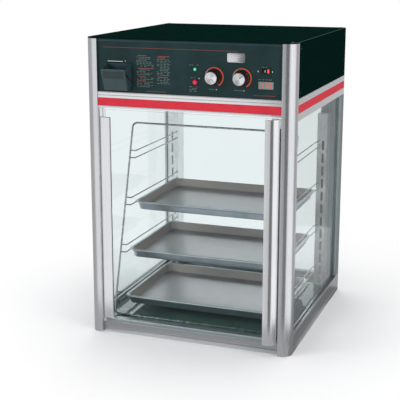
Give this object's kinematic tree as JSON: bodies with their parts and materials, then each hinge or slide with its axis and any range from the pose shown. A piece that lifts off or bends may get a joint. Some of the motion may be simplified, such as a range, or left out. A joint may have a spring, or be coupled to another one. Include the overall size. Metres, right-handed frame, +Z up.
{
  "type": "heated holding cabinet",
  "caption": "Countertop heated holding cabinet with glass on every side, a glass door, sheet pans on a wire rack and a dark control head with knobs, lamps and a water-fill cup.",
  "frame": {"origin": "centre of the underside of the outside box: the base rails and posts stand on z = 0, x = 0 is midway between the side posts, and y = 0 is midway between the cup lip in front and the cord gland behind", "axes": "+Z up; the door and control panel face -Y; +X is the viewer's right when facing the door, the side with the door handle"},
  "size_m": [0.575, 0.6312, 0.822],
  "materials": {
    "satin_aluminium": "satin, fine lengthwise grain",
    "bright_aluminium": "bright anodised",
    "stainless": "brushed",
    "galvanised": "zinc-plated sheet",
    "green_black": "fine satin paint",
    "lid_black": "semi-gloss paint",
    "deck_black": "high gloss enamel",
    "stripe_red": "smooth trim strip",
    "clear_glass": "clear tempered glass",
    "wire_chrome": "plated wire",
    "pan_aluminium": "plain pressed sheet",
    "black_plastic": "fine matt",
    "grey_plastic": "fine matt",
    "green_lens": "translucent lens",
    "red_lens": "translucent lens",
    "display_grey": "smooth window",
    "board_green": "printed board",
    "magnet_black": "matt black"
  },
  "bodies": {
    "cabinet": {"front_post_left": "satin_aluminium", "front_post_right": "satin_aluminium", "rear_post_left": "satin_aluminium", "rear_post_right": "satin_aluminium", "base_rail_front": "satin_aluminium", "base_rail_left": "satin_aluminium", "base_rail_right": "satin_aluminium", "base_rail_rear": "satin_aluminium", "head_rail_front": "bright_aluminium", "head_rail_left": "bright_aluminium", "head_rail_right": "bright_aluminium", "head_rail_rear": "bright_aluminium", "stripe_front": "stripe_red", "stripe_left": "stripe_red", "stripe_right": "stripe_red", "stripe_rear": "stripe_red", "side_glass_left": "clear_glass", "side_glass_right": "clear_glass", "rear_glass": "clear_glass", "deck_plate": "deck_black", "base_pan": "galvanised", "chamber_ceiling": "stainless", "head_panel_left": "lid_black", "head_panel_right": "lid_black", "head_panel_rear": "lid_black", "lid": "lid_black", "cord_gland": "black_plastic", "control_panel": "green_black", "humidity_control": "grey_plastic", "temperature_control": "grey_plastic", "green_lamp": "green_lens", "red_lamp": "red_lens", "power_switch_frame": "black_plastic", "temperature_display": "display_grey", "door_pivot_top": "bright_aluminium", "door_pivot_bottom": "bright_aluminium", "door_catch_strip": "magnet_black", "rack_side_left": "wire_chrome", "rack_side_right": "wire_chrome", "rack_top_wire": "wire_chrome", "rack_bottom_wire": "wire_chrome", "pilaster_left": "galvanised", "pilaster_right": "galvanised", "air_plenum": "galvanised", "fan_motor": "magnet_black", "air_heater": "stainless", "water_tank": "stainless", "tank_heater": "stainless", "control_board": "board_green"},
    "door": {"door_glass": "clear_glass", "door_handle": "bright_aluminium", "door_hinge_stile": "satin_aluminium"},
    "pan_top": {"sheet_pan_top": "pan_aluminium"},
    "pan_middle": {"sheet_pan_middle": "pan_aluminium"},
    "pan_bottom": {"sheet_pan_bottom": "pan_aluminium"},
    "humidity_dial": {"humidity_knob": "black_plastic"},
    "temperature_dial": {"temperature_knob": "black_plastic"},
    "rocker": {"power_rocker": "red_lens"},
    "fan": {"fan_wheel": "galvanised"},
    "fill_cup": {"water_fill_cup": "grey_plastic"}
  },
  "joints": [
    {"name": "door_swing", "type": "hinge", "parent": "cabinet", "child": "door", "pos_m": [-0.245, -0.2711, 0.333], "axis": [0, 0, -1], "range_deg": [0, 110]},
    {"name": "pan_top_slide", "type": "slide", "parent": "cabinet", "child": "pan_top", "axis": [0, -1, 0], "range_m": [0, 0.15]},
    {"name": "pan_middle_slide", "type": "slide", "parent": "cabinet", "child": "pan_middle", "axis": [0, -1, 0], "range_m": [0, 0.105]},
    {"name": "pan_bottom_slide", "type": "slide", "parent": "cabinet", "child": "pan_bottom", "axis": [0, -1, 0], "range_m": [0, 0.075]},
    {"name": "humidity_dial_turn", "type": "hinge", "parent": "cabinet", "child": "humidity_dial", "pos_m": [0.074, -0.2716, 0.73], "axis": [0, -1, 0], "range_deg": [0, 270]},
    {"name": "temperature_dial_turn", "type": "hinge", "parent": "cabinet", "child": "temperature_dial", "pos_m": [0.148, -0.2716, 0.73], "axis": [0, -1, 0], "range_deg": [0, 270]},
    {"name": "power_rocker_tilt", "type": "hinge", "parent": "cabinet", "child": "rocker", "pos_m": [0.2115, -0.2716, 0.75], "axis": [0, 0, -1], "range_deg": [0, 20]},
    {"name": "fan_spin", "type": "hinge", "parent": "cabinet", "child": "fan", "pos_m": [0, 0.1389, 0.6445], "axis": [0, 0, 1], "continuous": true},
    {"name": "fill_cup_tilt", "type": "hinge", "parent": "cabinet", "child": "fill_cup", "pos_m": [-0.189, -0.2656, 0.687], "axis": [-1, 0, 0], "range_deg": [0, 24]}
  ]
}
